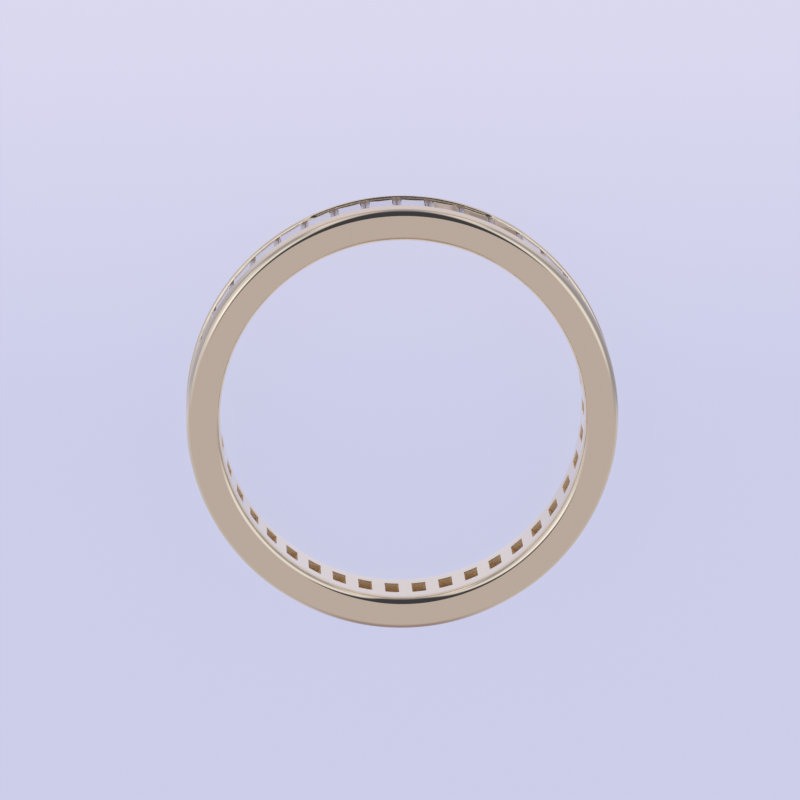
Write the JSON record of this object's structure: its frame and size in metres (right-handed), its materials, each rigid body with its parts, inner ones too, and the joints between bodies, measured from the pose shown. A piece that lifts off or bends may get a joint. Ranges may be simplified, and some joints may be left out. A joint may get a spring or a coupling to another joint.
{
  "type": "channel set eternity ring with baguette stones",
  "caption": "Plain polished ring with baguette stones held side by side all the way round, in a channel between its rails, over a pierced inner wall.",
  "frame": {"origin": "centre of the finger hole on the flat side face that the ring lies on", "axes": "+Z along the ring's axis, up from the side face it lies on; +Y to the top of the ring as it is worn in the picture; +X to the right"},
  "size_m": [0.0206, 0.0206, 0.0037],
  "materials": {
    "gold": "mirror polished pale yellow gold",
    "diamond": "clear faceted stone, polished"
  },
  "bodies": {
    "root": {"band": "gold", "baguette_01": "diamond", "baguette_02": "diamond", "baguette_03": "diamond", "baguette_04": "diamond", "baguette_05": "diamond", "baguette_06": "diamond", "baguette_07": "diamond", "baguette_08": "diamond", "baguette_09": "diamond", "baguette_10": "diamond", "baguette_11": "diamond", "baguette_12": "diamond", "baguette_13": "diamond", "baguette_14": "diamond", "baguette_15": "diamond", "baguette_16": "diamond", "baguette_17": "diamond", "baguette_18": "diamond", "baguette_19": "diamond", "baguette_20": "diamond", "baguette_21": "diamond", "baguette_22": "diamond", "baguette_23": "diamond", "baguette_24": "diamond", "baguette_25": "diamond", "baguette_26": "diamond", "baguette_27": "diamond", "baguette_28": "diamond", "baguette_29": "diamond", "baguette_30": "diamond", "baguette_31": "diamond", "baguette_32": "diamond", "baguette_33": "diamond", "baguette_34": "diamond", "baguette_35": "diamond", "baguette_36": "diamond", "baguette_37": "diamond", "baguette_38": "diamond", "baguette_39": "diamond", "baguette_40": "diamond", "baguette_41": "diamond", "baguette_42": "diamond"}
  },
  "joints": []
}
